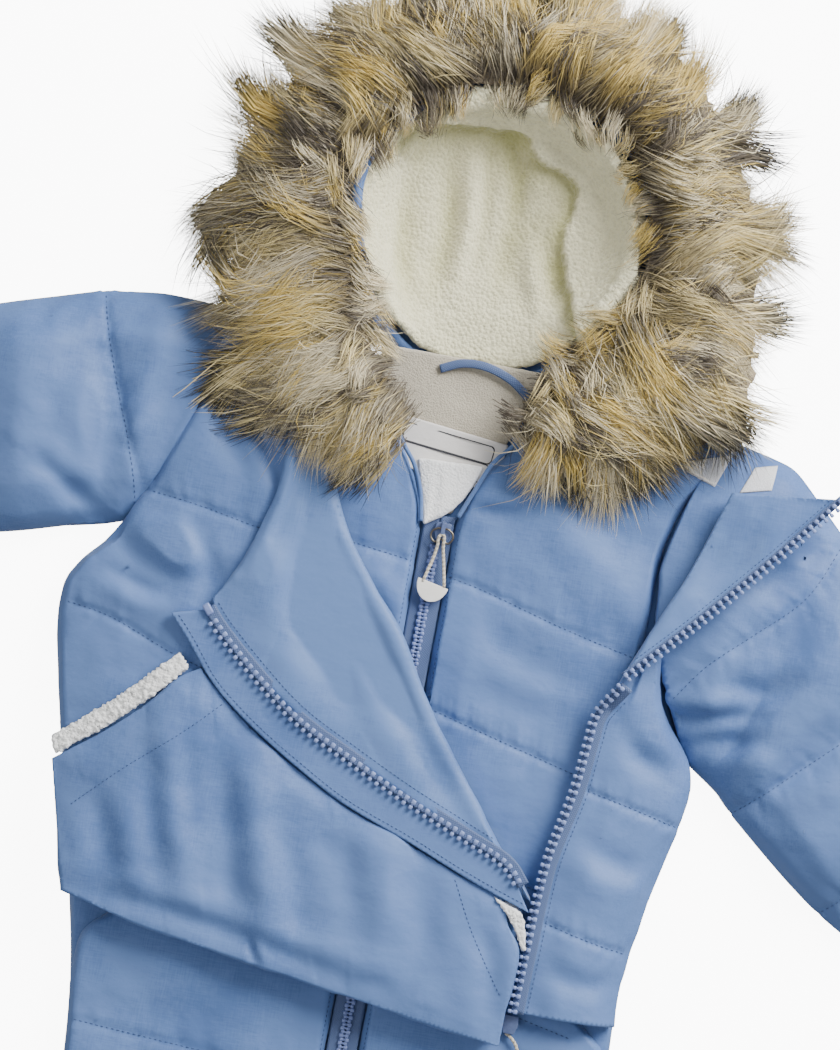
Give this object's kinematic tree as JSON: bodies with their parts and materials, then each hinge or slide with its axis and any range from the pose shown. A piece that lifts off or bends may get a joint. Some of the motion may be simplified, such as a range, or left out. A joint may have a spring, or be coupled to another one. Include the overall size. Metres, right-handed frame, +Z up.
{
  "type": "toddler snowsuit",
  "caption": "Padded one-piece toddler snowsuit laid flat, with a double front, a pouch pocket, and a fleece-lined hood with a fur trim.",
  "frame": {"origin": "middle of the footprint, on the surface that the suit lies on", "axes": "+X to the viewer's right, +Y from the legs to the hood, +Z up from the surface"},
  "size_m": [0.8208, 0.9816, 0.066],
  "materials": {
    "cloth": "woven polyester, soft sheen",
    "facing": "plain woven lining",
    "cuff": "elastic binding",
    "zip_tape": "herringbone tape",
    "zip_teeth": "moulded teeth",
    "fleece": "sherpa pile",
    "fur": "long pile faux fur",
    "label": "printed satin tape",
    "reflective": "retroreflective film",
    "zip_metal": "aged metal",
    "cord": "braided cord",
    "tab": "cast resin"
  },
  "bodies": {
    "suit": {"back_panel": "cloth", "inner_front_left": "cloth", "inner_front_right": "cloth", "outer_front_left": "cloth", "storm_flap": "cloth", "pouch_pocket": "cloth", "side_front_right": "cloth", "sleeve_left": "cloth", "sleeve_right": "cloth", "leg_left": "cloth", "leg_right": "cloth", "hood_shell": "cloth", "turned_facing": "facing", "lapel_right": "facing", "hang_loop": "facing", "cuff_left": "cuff", "cuff_right": "cuff", "ankle_cuff_left": "cuff", "ankle_cuff_right": "cuff", "centre_tape_left": "zip_tape", "centre_tape_right": "zip_tape", "outer_zip_tape": "zip_tape", "side_zip_tape": "zip_tape", "lapel_zip_tape": "zip_tape", "centre_chain": "zip_teeth", "outer_zip_chain": "zip_teeth", "side_zip_chain": "zip_teeth", "lapel_zip_chain": "zip_teeth", "neck_facing": "fleece", "chin_guard": "fleece", "hood_lining": "fleece", "mouth_trim_left": "fleece", "mouth_trim_right": "fleece", "fur_trim": "fur", "neck_label": "label", "patch_front": "reflective", "patch_sleeve": "reflective", "centre_slider": "zip_metal", "centre_bridge": "zip_metal", "outer_slider": "zip_metal", "outer_pull_cord": "cord", "outer_pull_tab": "tab"},
    "pull": {"pull_bail": "zip_metal", "pull_cord": "cord", "pull_tab": "tab"}
  },
  "joints": [
    {"name": "pull_swing", "type": "hinge", "parent": "suit", "child": "pull", "pos_m": [0.03135, 0.15745, 0.0193], "axis": [-1, 0, 0], "range_deg": [0, 110]}
  ]
}
